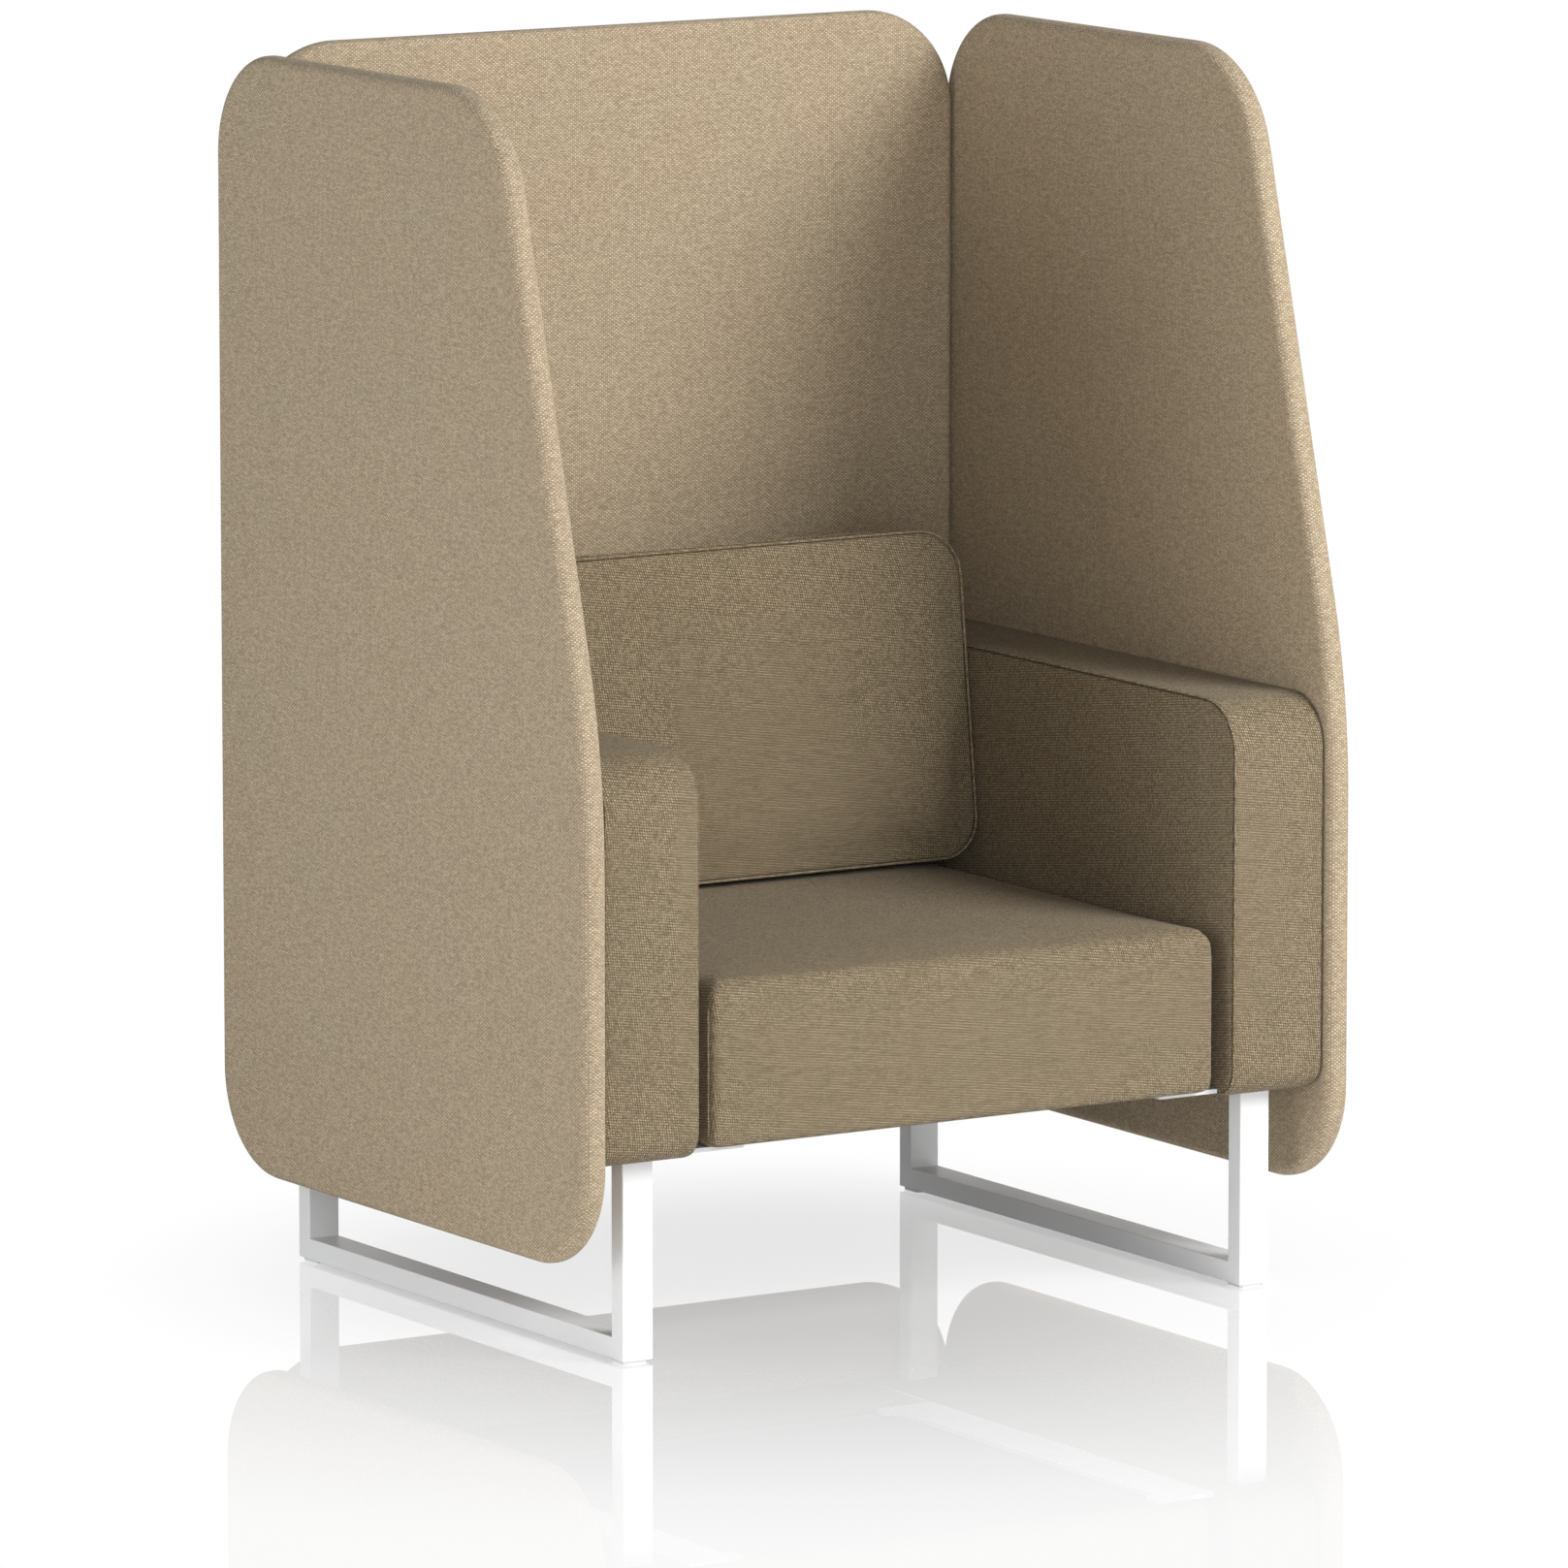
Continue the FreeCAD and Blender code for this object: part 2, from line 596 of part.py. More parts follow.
for number in range(WEB_COUNT):
    middle = "%s * %g" % (inner_side, 2 * (number + 0.5) / WEB_COUNT - 1)
    web_x = (middle + " - web_wide / 2", middle + " + web_wide / 2")
    webs.append(block("web_%d" % number, web_x, lengthways, ("frame_top", "frame_top + web_thick")))
keep("seat_webbing", group("seat_webbing", webs))
frame_room = block("seat_frame_room", across, lengthways, ("frame_low", "frame_top + web_thick"))
keep("seat_foam", cut("seat_foam", seat_filling, frame_room))
open_x = ("seat_turn_in - seat_side", "seat_side - seat_turn_in")
open_y = ("seat_front + seat_turn_in", "seat_rear - seat_turn_in")
bottom_gap = block("seat_bottom_gap", open_x, open_y, ("seat_bottom", "frame_low"))
keep("seat_cover", cut("seat_cover", seat_skin, seat_filling, bottom_gap))
keep("seat_dust_cover", block("seat_dust_cover", open_x, open_y, ("frame_low - dust_thick", "frame_low")))

# Back cushion: a box cushion, crowned in front, flatter behind, its boxing bulged, leaning on the chair back.
half, high, thick = size("arm_in") - size("cushion_side_gap"), size("cushion_height"), size("cushion_thick")
top_corner, foot_corner = size("cushion_top_corner"), size("cushion_foot_corner")
cushion_outline = [(-half, 0, foot_corner), (half, 0, foot_corner),
                   (half, high, top_corner), (-half, high, top_corner)]
turns = [math.radians(turn) for turn in CUSHION_TURNS]
domes = [(math.sin(turn), size("cushion_draw") * (1 - math.cos(turn))) for turn in turns]
crown, back_crown, bulge = size("cushion_crown"), size("cushion_back_crown"), size("cushion_bulge")
swell, swell_reach = size("cushion_swell"), size("cushion_swell_reach")
cushion_stations = [(-back_crown * rise, draw) for rise, draw in domes]
cushion_stations += [(0, 0), (thick / 2, -bulge), (thick, 0)]
cushion_stations += [(thick + crown * rise, draw) for rise, draw in domes[::-1]]
peak, reach = domes[0]
stuffing_stations = [(cover - back_crown * peak, reach), (cover / 2, 1.5 * cover),
                     (thick - cover / 2, 1.5 * cover), (thick + crown * peak - cover, reach)]

# The cushion's foot stands on the seat's crown and its rear meets the chair back's rounded top edge.
sine, cosine = (turn(math.radians(size("cushion_lean"))) for turn in (math.sin, math.cos))
rest_y, rest_z = size("back_front") + arm_edge, size("arm_top") - arm_edge
rest_gap = arm_edge + size("soft_gap") + back_crown * peak
foot_y, foot_z = size("seat_rear"), seat_top
for attempt in range(4):
    climb = (size("seat_rear") - foot_y - size("seat_corner")) / (seat_reach - size("seat_corner"))
    foot_z = seat_top + seat_crown * min(max(climb, 0), 1) + size("soft_gap")
    foot_y = rest_y + ((foot_z - rest_z) * sine - rest_gap) / cosine
cushion_place = Placement(Vector(0, foot_y, foot_z), Rotation(Vector(1, 0, 0), -size("cushion_lean")))


def cushion_lift(u, v, depth):
    return Vector(u, -depth, v)


cushion_skin, stuffing = (
    swollen(name, cushion_outline, stations, swell, swell_reach, cushion_lift, cushion_place)
    for name, stations in (("cushion_skin", cushion_stations), ("cushion_stuffing", stuffing_stations)))
zip_slot = doc.addObject("Part::Box", "zip_slot")
for prop, text in (("Length", "zip_long"), ("Width", "zip_wide"), ("Height", "4 * cover_thick")):
    bind(zip_slot, prop, text)
zip_start = Vector(-size("zip_long") / 2, -thick / 2 - size("zip_wide") / 2, -2 * bulge)
zip_slot.Placement = cushion_place.multiply(Placement(zip_start, Rotation()))
cushion_shell = cut("cushion_shell", cushion_skin, stuffing)
keep("cushion_foam", stuffing)
keep("cushion_cover", cut("cushion_cover", cushion_shell, zip_slot))
keep("cushion_zip", join("Part::Common", "cushion_zip", cushion_shell, zip_slot))

doc.recompute()
for item in doc.Objects:
    if "Invalid" in item.State or "Error" in item.State:
        raise RuntimeError("failed feature: %s %s" % (item.Name, item.State))
for label, item in nodes.items():
    if item.Shape.isNull() or not item.Shape.isValid() or not item.Shape.Solids:
        raise RuntimeError("bad shape: " + label)

os.makedirs("parts", exist_ok=True)
for label, item in nodes.items():
    solids = item.Shape.Solids
    whole = solids[0] if len(solids) == 1 else Part.makeCompound(solids)
    whole.exportStep("parts/%s.step" % label)
print("%d nodes, %d solids" % (len(nodes), sum(len(item.Shape.Solids) for item in nodes.values())))
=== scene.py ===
import math

import bmesh
import bpy
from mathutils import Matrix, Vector


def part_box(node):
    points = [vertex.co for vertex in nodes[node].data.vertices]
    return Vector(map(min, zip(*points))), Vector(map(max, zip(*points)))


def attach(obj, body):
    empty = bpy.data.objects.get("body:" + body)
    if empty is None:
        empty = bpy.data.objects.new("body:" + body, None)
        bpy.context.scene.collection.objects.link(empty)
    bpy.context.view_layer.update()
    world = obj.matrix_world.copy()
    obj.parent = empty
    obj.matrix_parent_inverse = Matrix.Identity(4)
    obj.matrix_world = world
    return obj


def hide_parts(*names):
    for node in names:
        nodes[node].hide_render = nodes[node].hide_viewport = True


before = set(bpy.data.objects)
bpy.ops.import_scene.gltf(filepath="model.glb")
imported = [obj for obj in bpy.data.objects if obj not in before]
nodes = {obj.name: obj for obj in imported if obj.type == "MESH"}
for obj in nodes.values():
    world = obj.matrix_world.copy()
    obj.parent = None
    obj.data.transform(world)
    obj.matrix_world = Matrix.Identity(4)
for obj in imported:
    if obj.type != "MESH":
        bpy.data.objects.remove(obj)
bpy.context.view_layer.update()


# Sled bases with their glide pads, and the angles that carry the seat: mitred rectangular steel tube
# and folded plate, welded and powder coated in satin white; the pads are moulded in a like white.
def node_tools(tree):
    """Ways to add a node to a tree, and to set or link the sockets of one."""
    def feed(node, sources):
        for socket, source in sources.items():
            if hasattr(source, "is_output"):
                tree.links.new(source, node.inputs[socket])
            else:
                node.inputs[socket].default_value = source

    def add(kind, sources=None, **settings):
        made = tree.nodes.new(kind)
        for key, value in settings.items():
            setattr(made, key, value)
        feed(made, sources or {})
        return made

    return add, feed


def new_finish(name):
    """A material with its shader and its node tools."""
    finish = bpy.data.materials.new(name)
    finish.use_nodes = True
    return finish, finish.node_tree.nodes["Principled BSDF"], *node_tools(finish.node_tree)


def clad(names, finish):
    """Give pieces that stay as built their finish."""
    for name in names:
        nodes[name].data.materials.clear()
        nodes[name].data.materials.append(finish)


def satin_skin(name, tone, rough):
    """A sprayed or moulded skin with a fine orange peel, a little cloudy in tone and gloss."""
    finish, shader, add, feed = new_finish(name)
    place = add("ShaderNodeTexCoord").outputs["Object"]
    peel = add("ShaderNodeTexNoise", {"Vector": place, "Scale": 900.0, "Detail": 2.0})
    cloud = add("ShaderNodeTexNoise", {"Vector": place, "Scale": 14.0, "Detail": 4.0}).outputs["Fac"]
    duller = [channel * 0.965 for channel in tone]
    tint = add("ShaderNodeMix", {0: cloud, 6: duller + [1], 7: tone + [1]}, data_type="RGBA")
    gloss = add("ShaderNodeMapRange", {"Value": cloud, "To Min": rough - 0.05, "To Max": rough + 0.05})
    bump = add("ShaderNodeBump", {"Height": peel.outputs["Fac"], "Strength": 0.08, "Distance": 0.0004})
    feed(shader, {"Base Color": tint.outputs[2], "Roughness": gloss.outputs["Result"],
                  "Normal": bump.outputs["Normal"]})
    return finish


clad([side + piece for side in ("left_", "right_") for piece in ("sled_frame", "seat_angle")],
     satin_skin("satin_white_coat", [0.82, 0.82, 0.82], 0.38))
clad([side + end + "_glide" for side in ("left_", "right_") for end in ("front", "rear")],
     satin_skin("pale_moulded_plastic", [0.72, 0.72, 0.71], 0.55))


# Timber and plywood inside the upholstery: boards, rails and mounting blocks, glued and stapled, with
# the steel spigots of the legs. None of it shows, but each has its own grain or metal.
def timber(name, pale, dark, ring):
    """Planed wood with its grain along the chair's depth."""
    finish, shader, add, feed = new_finish(name)
    place = add("ShaderNodeTexCoord").outputs["Object"]
    drawn = add("ShaderNodeMapping", {"Vector": place, "Scale": (ring, ring * 0.06, ring)})
    grain = add("ShaderNodeTexNoise", {"Vector": drawn.outputs["Vector"], "Scale": 1.0, "Detail": 6.0,
                                       "Distortion": 0.6}).outputs["Fac"]
    tint = add("ShaderNodeMix", {0: grain, 6: dark + [1], 7: pale + [1]}, data_type="RGBA")
    rough = add("ShaderNodeMapRange", {"Value": grain, "To Min": 0.75, "To Max": 0.6})
    bump = add("ShaderNodeBump", {"Height": grain, "Strength": 0.2, "Distance": 0.0006})
    feed(shader, {"Base Color": tint.outputs[2], "Roughness": rough.outputs["Result"],
                  "Normal": bump.outputs["Normal"]})
    return finish


clad(["left_arm_inner_board", "left_arm_outer_board", "right_arm_inner_board", "right_arm_outer_board",
      "back_front_board", "back_rear_board", "left_screen_core", "right_screen_core", "back_screen_core"],
     timber("birch_plywood", [0.62, 0.45, 0.27], [0.47, 0.31, 0.17], 60.0))
clad(["left_arm_rails", "right_arm_rails", "back_rails", "seat_front_rail", "seat_rear_rail",
      "seat_side_rails", "seat_cross_rail", "screen_blocks", "back_blocks"],
     timber("planed_softwood", [0.60, 0.42, 0.24], [0.42, 0.26, 0.13], 90.0))


def brushed_zinc(name):
    """Zinc plate with fine upright brush marks."""
    finish, shader, add, feed = new_finish(name)
    place = add("ShaderNodeTexCoord").outputs["Object"]
    drawn = add("ShaderNodeMapping", {"Vector": place, "Scale": (600.0, 600.0, 30.0)})
    brush = add("ShaderNodeTexNoise", {"Vector": drawn.outputs["Vector"], "Scale": 1.0,
                                       "Detail": 3.0}).outputs["Fac"]
    tint = add("ShaderNodeMix", {0: brush, 6: (0.42, 0.43, 0.44, 1), 7: (0.60, 0.61, 0.62, 1)},
               data_type="RGBA")
    rough = add("ShaderNodeMapRange", {"Value": brush, "To Min": 0.3, "To Max": 0.5})
    feed(shader, {"Base Color": tint.outputs[2], "Roughness": rough.outputs["Result"], "Metallic": 1.0})
    return finish


clad(["leg_spigots"], brushed_zinc("zinc_plate"))


# Seat suspension and trims that stay as built: elastic webbing stapled over the seat frame, a black dust
# cloth under it, and the coil zip in the cushion's foot.
def banded_cloth(name, pale, dark, stripe):
    """Narrow cloth in bands, with fibres across them."""
    finish, shader, add, feed = new_finish(name)
    place = add("ShaderNodeTexCoord").outputs["Object"]
    strands = add("ShaderNodeTexWave", {"Vector": place, "Scale": stripe, "Distortion": 0.6, "Detail": 2.0,
                                        "Detail Scale": 4.0}, bands_direction="Y")
    fibre = add("ShaderNodeTexNoise", {"Vector": place, "Scale": 700.0, "Detail": 3.0}).outputs["Fac"]
    blend = add("ShaderNodeMath", {0: strands.outputs["Fac"], 1: fibre}, operation="MULTIPLY").outputs[0]
    tint = add("ShaderNodeMix", {0: blend, 6: dark + [1], 7: pale + [1]}, data_type="RGBA")
    rough = add("ShaderNodeMapRange", {"Value": fibre, "To Min": 0.8, "To Max": 1.0})
    bump = add("ShaderNodeBump", {"Height": blend, "Strength": 0.4, "Distance": 0.0005})
    feed(shader, {"Base Color": tint.outputs[2], "Roughness": rough.outputs["Result"],
                  "Normal": bump.outputs["Normal"]})
    return finish


clad(["seat_webbing"], banded_cloth("elastic_webbing", [0.075, 0.073, 0.07], [0.025, 0.024, 0.023], 160.0))
clad(["seat_dust_cover"],
     banded_cloth("black_dust_cloth", [0.032, 0.031, 0.03], [0.012, 0.012, 0.012], 40.0))
clad(["cushion_zip"], banded_cloth("coil_zip", [0.30, 0.24, 0.16], [0.16, 0.12, 0.075], 400.0))


# Arm covers: a coarse two-tone hopsack cut as a side panel, a band and a side panel, sewn along the
# edges and drawn tight over thin foam, so the faces stay flat and the seams show as fine lines.
def woven_cloth(name, pale, dark, gap, checks, yarn, turn, slubs, relief):
    """Cloth woven in floats of yarn, sized in mm, on the plane that each face is nearest to."""
    finish, shader, add, feed = new_finish(name)
    coords = add("ShaderNodeTexCoord").outputs
    spot = add("ShaderNodeSeparateXYZ", {"Vector": coords["Object"]}).outputs
    faced = add("ShaderNodeVectorMath", {0: coords["Normal"]}, operation="ABSOLUTE")
    lean = add("ShaderNodeSeparateXYZ", {"Vector": faced.outputs["Vector"]}).outputs

    def outgrows(first, second, third):
        larger = add("ShaderNodeMath", {0: second, 1: third}, operation="MAXIMUM")
        return add("ShaderNodeMath", {0: first, 1: larger.outputs[0]}, operation="GREATER_THAN").outputs[0]

    sideways = outgrows(lean["X"], lean["Y"], lean["Z"])
    upward = outgrows(lean["Z"], lean["X"], lean["Y"])
    across = add("ShaderNodeMix", {0: sideways, 2: spot["X"], 3: spot["Y"]}).outputs[0]
    along = add("ShaderNodeMix", {0: upward, 2: spot["Z"], 3: spot["Y"]}).outputs[0]
    flat = add("ShaderNodeCombineXYZ", {"X": across, "Y": along}).outputs["Vector"]
    turned = (0, 0, math.radians(turn))
    laid = add("ShaderNodeMapping", {"Vector": flat, "Rotation": turned}).outputs["Vector"]

    # the threads waver a little, and light and dark floats cross in turn, no two quite alike in tone
    waver = add("ShaderNodeTexNoise", {"Vector": laid, "Scale": 90.0, "Detail": 2.0})
    most_shift = (0.0012, 0.0012, 0)
    shift = add("ShaderNodeVectorMath", {0: waver.outputs["Color"], 1: most_shift}, operation="MULTIPLY")
    moved = add("ShaderNodeVectorMath", {0: laid, 1: shift.outputs["Vector"]}, operation="ADD")
    drawn = moved.outputs["Vector"]
    float_long, float_high, gap_wide = yarn
    mm_per_metre = 1000.0
    weave = add("ShaderNodeTexBrick", {
        "Vector": drawn, "Color1": pale + [1], "Color2": dark + [1], "Mortar": gap + [1],
        "Scale": mm_per_metre, "Mortar Size": gap_wide, "Mortar Smooth": 0.9, "Bias": 0.0,
        "Brick Width": float_long, "Row Height": float_high}, offset=0.0).outputs
    counted = add("ShaderNodeMapping", {"Vector": drawn,
                                        "Scale": (mm_per_metre / float_long, mm_per_metre / float_high, 1)})
    lighter, darker = [1 + checks] * 3, [1 - checks] * 3
    floats = add("ShaderNodeTexChecker", {"Vector": counted.outputs["Vector"], "Scale": 1.0,
                                          "Color1": lighter + [1], "Color2": darker + [1]})
    crossed = add("ShaderNodeVectorMath", {0: weave["Color"], 1: floats.outputs["Color"]},
                  operation="MULTIPLY").outputs["Vector"]

    # slubs thicken the yarn here and there, and the dye is cloudy over a hand's breadth
    slubs_across, slubs_along, slub_strength = slubs
    strand = add("ShaderNodeMapping", {"Vector": laid, "Scale": (slubs_across, slubs_along, 1)})
    slub = add("ShaderNodeTexNoise", {"Vector": strand.outputs["Vector"], "Scale": 1.0, "Detail": 2.0})
    thick = add("ShaderNodeMapRange", {"Value": slub.outputs["Fac"], "From Min": 0.25, "From Max": 0.75,
                                       "To Min": 1 - slub_strength, "To Max": 1 + slub_strength})
    cloud = add("ShaderNodeTexNoise", {"Vector": coords["Object"], "Scale": 8.0, "Detail": 3.0})
    warmer, cooler = (1.03, 0.99, 0.98, 1), (0.98, 1.01, 1.0, 1)
    shade = add("ShaderNodeMix", {0: cloud.outputs["Fac"], 6: warmer, 7: cooler}, data_type="RGBA")
    dyed = add("ShaderNodeVectorMath", {0: crossed, 1: shade.outputs[2]}, operation="MULTIPLY")
    tint = add("ShaderNodeVectorMath", {0: dyed.outputs["Vector"], "Scale": thick.outputs["Result"]},
               operation="SCALE")
    fuzz = add("ShaderNodeTexNoise", {"Vector": coords["Object"], "Scale": 2600.0, "Detail": 1.0})
    sunk = add("ShaderNodeMath", {0: fuzz.outputs["Fac"], 1: 0.35, 2: weave["Fac"]},
               operation="MULTIPLY_ADD").outputs[0]
    bump = add("ShaderNodeBump", {"Height": sunk, "Strength": 0.55, "Distance": relief}, invert=True)
    rough = add("ShaderNodeMapRange", {"Value": weave["Fac"], "To Min": 0.86, "To Max": 1.0})
    feed(shader, {"Base Color": tint.outputs["Vector"], "Roughness": rough.outputs["Result"],
                  "Normal": bump.outputs["Normal"], "Specular IOR Level": 0.2, "Sheen Weight": 0.08,
                  "Sheen Roughness": 0.45})
    return finish


hopsack_weave = {"yarn": (2.5, 1.9, 0.36), "turn": 45, "slubs": (300, 420, 0.12), "relief": 0.0009}
hopsack = woven_cloth("beige_hopsack", [0.396, 0.318, 0.205], [0.204, 0.158, 0.096], [0.053, 0.038, 0.020],
                      0.35, **hopsack_weave)
# lighter than the cover cloth: a painted highlight, used on the seam ridges and on the seam cords of the
# seat and cushion
seam_cloth_painted_highlight = woven_cloth("hopsack_seam_painted_highlight", [0.50, 0.405, 0.27], [0.22, 0.17, 0.10], [0.055, 0.04, 0.022],
                         0.25, **hopsack_weave)
# darker than the cover cloth: a painted shadow in the groove beside the arm seams
seam_groove_painted_shadow = woven_cloth("hopsack_groove_painted_shadow", [0.20, 0.155, 0.095], [0.08, 0.06, 0.035],
                         [0.03, 0.022, 0.012], 0.25, **hopsack_weave)


def work_on(piece):
    """Open one piece alone in edit mode."""
    if bpy.context.object and bpy.context.object.mode == "EDIT":
        bpy.ops.object.mode_set(mode="OBJECT")
    bpy.ops.object.select_all(action="DESELECT")
    piece.select_set(True)
    bpy.context.view_layer.objects.active = piece
    bpy.ops.object.mode_set(mode="EDIT")


def pick(piece, kind, test):
    """Select the verts, edges or faces whose point, ends, or middle and normal pass a test."""
    bpy.ops.mesh.select_mode(type=kind)
    bpy.ops.mesh.select_all(action="DESELECT")
    form = bmesh.from_edit_mesh(piece.data)
    form.normal_update()
    for item in {"VERT": form.verts, "EDGE": form.edges, "FACE": form.faces}[kind]:
        if kind == "VERT":
            chosen = test(item.co)
        elif kind == "EDGE":
            chosen = test(item.verts[0].co, item.verts[1].co)
        else:
            chosen = test(item.calc_center_median(), item.normal)
        if chosen:
            item.select_set(True)
    form.select_flush_mode()
    bmesh.update_edit_mesh(piece.data)


def near(first, second):
    return abs(first - second) < 0.0004


def start_block(name, low, high, finish):
    """A cube of the piece's size at its place, open in edit mode."""
    bpy.ops.object.select_all(action="DESELECT")
    bpy.ops.mesh.primitive_cube_add(size=1, location=(low + high) / 2, scale=high - low)
    piece = bpy.context.object
    piece.name = piece.data.name = name
    bpy.ops.object.transform_apply(location=True, rotation=True, scale=True)
    piece.data.materials.append(finish)
    work_on(piece)
    return piece


def round_over(piece, test, radius, steps, profile=0.5):
    """Round the edges that pass a test."""
    pick(piece, "EDGE", test)
    bpy.ops.mesh.bevel(offset=radius, segments=steps, profile=profile, affect="EDGES")


def edge_strip(axis, least, most):
    """A test for the strip of a rounded edge whose normals lean towards an axis by a share."""
    return lambda middle, normal: least < abs(normal[axis]) < most


def raise_seam(piece, test, width, height, finish):
    """Lift or sink a strip of faces into the narrow line of a sewn seam, in a finish of its own: a lighter
    cloth that is a painted highlight on a lifted ridge, and a darker cloth that is a painted shadow in a
    sunk groove.
    """
    pick(piece, "FACE", test)
    bpy.ops.mesh.inset(thickness=width, depth=height, use_boundary=True)
    if finish.name not in piece.data.materials:
        piece.data.materials.append(finish)
    piece.active_material_index = piece.data.materials.find(finish.name)
    bpy.ops.object.material_slot_assign()


def pad_face(piece, axis, place, rings):
    """Crown a flat face by rings of an inset and a lift, so the padding under the cloth shows."""
    pick(piece, "FACE", lambda middle, normal: abs(normal[axis]) > 0.999 and near(middle[axis], place))
    for inset, lift in rings:
        bpy.ops.mesh.inset(thickness=inset, depth=lift)


def mirrored_copy(piece, name):
    """The same piece for the left side, with a mesh of its own."""
    bpy.ops.object.mode_set(mode="OBJECT")
    bpy.ops.object.duplicate(linked=False)
    twin = bpy.context.object
    twin.name = twin.data.name = name
    work_on(twin)
    bpy.ops.mesh.select_all(action="SELECT")
    bpy.ops.transform.resize(value=(-1, 1, 1), center_override=(0, 0, 0))
    bpy.ops.mesh.normals_make_consistent(inside=False)
    return twin


def close_piece(piece, replaced):
    """Smooth shading, and the piece's place in the frame."""
    work_on(piece)
    bpy.ops.object.mode_set(mode="OBJECT")
    bpy.ops.object.shade_smooth_by_angle(angle=math.radians(40))
    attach(piece, "root")
    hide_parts(*replaced)


low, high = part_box("right_arm_cover")
top_roll, toe_roll, edge_roll = 0.062, 0.033, 0.007
seam_wide, seam_high = 0.0004, 0.0009
shade_wide, shade_deep = 0.0003, 0.0007
edge_ring, face_ring, inner_crown = 0.004, 0.014, 0.0012
right_arm = start_block("right_arm", low, high, hopsack)
for corner_z, radius, steps in ((high.z, top_roll, 18), (low.z, toe_roll, 12)):
    round_over(right_arm, lambda a, b: all(near(p.y, low.y) and near(p.z, corner_z) for p in (a, b)),
               radius, steps)
round_over(right_arm, lambda a, b: near(a.x, b.x), edge_roll, 5)
# the middle strip of each rounded upright edge is lifted into a ridge in the lighter cloth, which is a
# painted highlight
raise_seam(right_arm, edge_strip(0, 0.6, 0.8), seam_wide, seam_high, seam_cloth_painted_highlight)
# the strip beside each ridge is sunk and given the darker cloth, which is a painted shadow in the seam's
# groove
raise_seam(right_arm, edge_strip(0, 0.86, 0.92), shade_wide, -shade_deep, seam_groove_painted_shadow)
for face_x, crown in ((low.x, inner_crown), (high.x, 0.0)):
    pad_face(right_arm, 0, face_x, ((edge_ring, 0.0), (face_ring, crown)))
left_arm = mirrored_copy(right_arm, "left_arm")
close_piece(left_arm, ("left_arm_cover", "left_arm_foam"))
close_piece(right_arm, ("right_arm_cover", "right_arm_foam"))


# Chair back: a padded box between the arms that the loose cushion leans on, upholstered like the arms
# over plywood and thin foam; only its top edge shows behind the cushion.
low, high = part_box("back_cover")
side_roll, face_roll = 0.010, 0.009
chair_back = start_block("chair_back", low, high, hopsack)
round_over(chair_back, lambda a, b: near(a.x, b.x) and near(a.z, b.z), side_roll, 5)
round_over(chair_back, lambda a, b: near(a.y, b.y), face_roll, 5)
# the seam ridge here is in the lighter cloth, which is a painted highlight
raise_seam(chair_back, edge_strip(1, 0.6, 0.8), seam_wide, seam_high, seam_cloth_painted_highlight)
for face_y in (low.y, high.y):
    pad_face(chair_back, 1, face_y, ((edge_ring, 0.0),))
close_piece(chair_back, ("back_cover", "back_foam"))


# Seat pad: deep foam on webbing under one hopsack cover, sewn up at its front corners, drawn down over
# the timber frame and stapled under it, so the top is crowned and rolls softly into front and sides.
def swell_up(piece, voxel, push, reach):
    """Fill a closed cover: cloth under pressure, where reach gives how far each point may move."""
    bpy.ops.object.mode_set(mode="OBJECT")
    shell = piece.modifiers.new("shell", "REMESH")
    shell.mode = "VOXEL"
    shell.voxel_size = voxel
    bpy.ops.object.modifier_apply(modifier="shell")
    slack = [point.co.copy() for point in piece.data.vertices]
    outward = [point.normal.copy() for point in piece.data.vertices]
    last_moment = 20
    filling = piece.modifiers.new("filling", "CLOTH")
    filling.settings.quality = 4
    filling.settings.use_pressure = True
    filling.settings.uniform_pressure_force = push
    filling.settings.effector_weights.gravity = 0
    filling.point_cache.frame_end = last_moment
    for moment in range(1, last_moment + 1):
        bpy.context.scene.frame_set(moment)
    bpy.ops.object.modifier_apply(modifier="filling")
    bpy.context.scene.frame_set(1)
    for point, spot, way in zip(piece.data.vertices, slack, outward):
        most = reach(spot)
        move = point.co - spot
        point.co = spot + move * min(1.0, most / max(move.length, 1e-9))
    for kind, settings in (("SMOOTH", {"factor": 0.5, "iterations": 1}),
                           ("SUBSURF", {"levels": 1, "render_levels": 1})):
        finer = piece.modifiers.new("finer", kind)
        for key, value in settings.items():
            setattr(finer, key, value)
        bpy.ops.object.modifier_apply(modifier="finer")
    bpy.ops.object.shade_smooth()


def rise(distance, span):
    """From 0 at a seam to 1 a span away from it, steep first."""
    return 1 - (1 - min(max(distance / span, 0.0), 1.0)) ** 2


def sew_on(trim, piece):
    """Give a modelled seam cord the lighter seam cloth, a painted highlight, and join it to the piece that
    it closes.
    """
    trim.data.materials.clear()
    # the lighter seam cloth on the cord is a painted highlight
    trim.data.materials.append(seam_cloth_painted_highlight)
    bpy.ops.object.shade_smooth()
    piece.select_set(True)
    bpy.context.view_layer.objects.active = piece
    bpy.ops.object.join()


